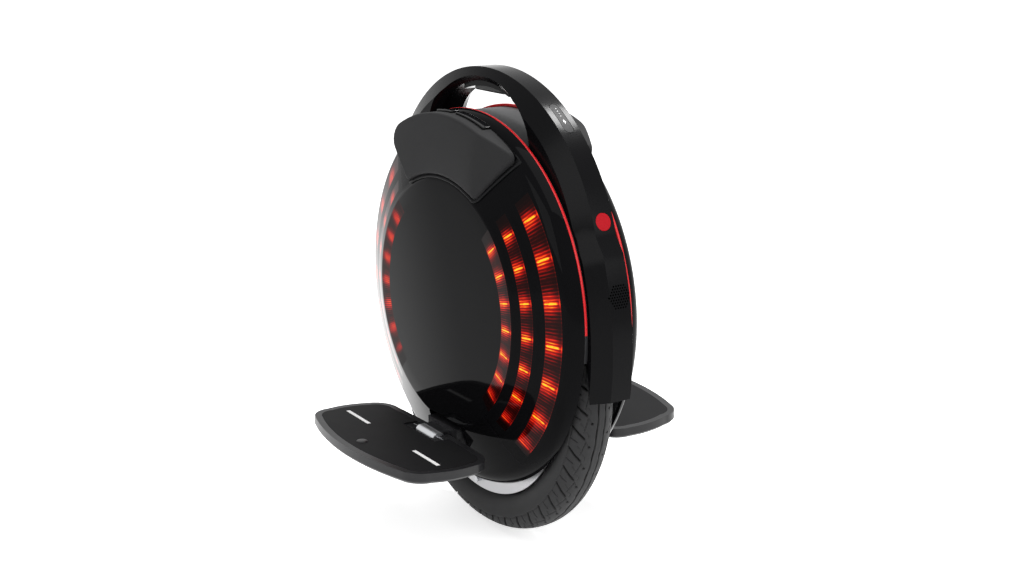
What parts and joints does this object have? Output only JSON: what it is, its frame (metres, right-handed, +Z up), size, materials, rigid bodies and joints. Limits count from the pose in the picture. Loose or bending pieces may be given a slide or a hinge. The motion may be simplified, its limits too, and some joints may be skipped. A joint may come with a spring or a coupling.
{
  "type": "electric unicycle",
  "caption": "Self-balancing electric unicycle: hub-motor wheel between glossy dished side covers with light bands, folding foot pedals, soft knee pads and a carry handle in an arched shell.",
  "frame": {"origin": "on the ground under the axle, midway between the pedals", "axes": "+Z up, Y along the axle with the left side at -Y, +X to the rear end with the round red lamp"},
  "size_m": [0.4642, 0.392, 0.5229],
  "materials": {
    "arch_black": "satin",
    "panel_gloss": "polished",
    "shell_grey": "matte",
    "light_red": "translucent, ribbed",
    "trim_red": "polished",
    "tray_black": "matte",
    "pad_charcoal": "matte, soft",
    "tyre_black": "matte",
    "tube_black": "matte",
    "rim_alloy": "satin",
    "hanger_alloy": "satin",
    "steel": "brushed",
    "core_steel": "laminated",
    "magnet_plate": "plated",
    "copper": "varnished wire",
    "pedal_dark": "satin",
    "mat_black": "grip",
    "stripe_white": "polished",
    "battery_wrap": "shrink wrap",
    "board_green": "matte",
    "button_grey": "satin",
    "switch_black": "satin",
    "lens_red": "clear tint",
    "lens_clear": "clear"
  },
  "bodies": {
    "chassis": {"handle_arch": "arch_black", "inner_shell_left": "shell_grey", "inner_shell_right": "shell_grey", "side_panel_left": "panel_gloss", "side_panel_right": "panel_gloss", "light_guides_left_front": "light_red", "light_guides_left_rear": "light_red", "light_guides_right_front": "light_red", "light_guides_right_rear": "light_red", "light_boards_left": "board_green", "light_boards_right": "board_green", "red_trim_left": "trim_red", "red_trim_right": "trim_red", "pad_tray_left": "tray_black", "pad_tray_right": "tray_black", "knee_pad_left": "pad_charcoal", "knee_pad_right": "pad_charcoal", "axle": "steel", "stator_core": "core_steel", "stator_windings": "copper", "axle_nuts": "steel", "pedal_hanger_left": "hanger_alloy", "pedal_hanger_right": "hanger_alloy", "hanger_bolts": "steel", "pedal_pin_left": "steel", "pedal_pin_right": "steel", "battery_pack_left": "battery_wrap", "battery_pack_right": "battery_wrap", "controller_board": "board_green", "heat_sink": "rim_alloy", "speaker": "switch_black", "tail_lamp": "lens_red", "head_lamp": "lens_clear", "charge_socket": "switch_black"},
    "wheel": {"tyre": "tyre_black", "inner_tube": "tube_black", "rim": "rim_alloy", "motor_cover_left": "rim_alloy", "motor_cover_right": "rim_alloy", "rotor_magnets": "magnet_plate", "bearing_left": "steel", "bearing_right": "steel", "cover_screws": "steel", "valve_stem": "steel"},
    "left_pedal": {"pedal_plate_left": "pedal_dark", "pedal_mat_left": "mat_black", "pedal_stripes_left": "stripe_white"},
    "right_pedal": {"pedal_plate_right": "pedal_dark", "pedal_mat_right": "mat_black"},
    "power_button": {"power_button": "button_grey"},
    "lift_switch": {"lift_switch": "switch_black"},
    "charge_cover": {"charge_cover": "button_grey"}
  },
  "joints": [
    {"name": "wheel_spin", "type": "hinge", "parent": "chassis", "child": "wheel", "pos_m": [0, 0, 0.2], "axis": [0, 1, 0], "continuous": true},
    {"name": "left_pedal_fold", "type": "hinge", "parent": "chassis", "child": "left_pedal", "pos_m": [0, -0.088, 0.12], "axis": [-1, 0, 0], "range_deg": [0, 85]},
    {"name": "right_pedal_fold", "type": "hinge", "parent": "chassis", "child": "right_pedal", "pos_m": [0, 0.088, 0.12], "axis": [1, 0, 0], "range_deg": [0, 85]},
    {"name": "power_button_press", "type": "slide", "parent": "chassis", "child": "power_button", "axis": [-0.5906, 0, -0.807], "range_m": [0, 0.001], "stiffness_N_per_m": 500, "springref_m": -0.001},
    {"name": "lift_switch_press", "type": "slide", "parent": "chassis", "child": "lift_switch", "axis": [0, 0, 1], "range_m": [0, 0.0025], "stiffness_N_per_m": 400, "springref_m": -0.002},
    {"name": "charge_cover_open", "type": "hinge", "parent": "chassis", "child": "charge_cover", "pos_m": [-0.10681, 0, 0.4938], "axis": [0, 1, 0], "range_deg": [0, 110]}
  ]
}
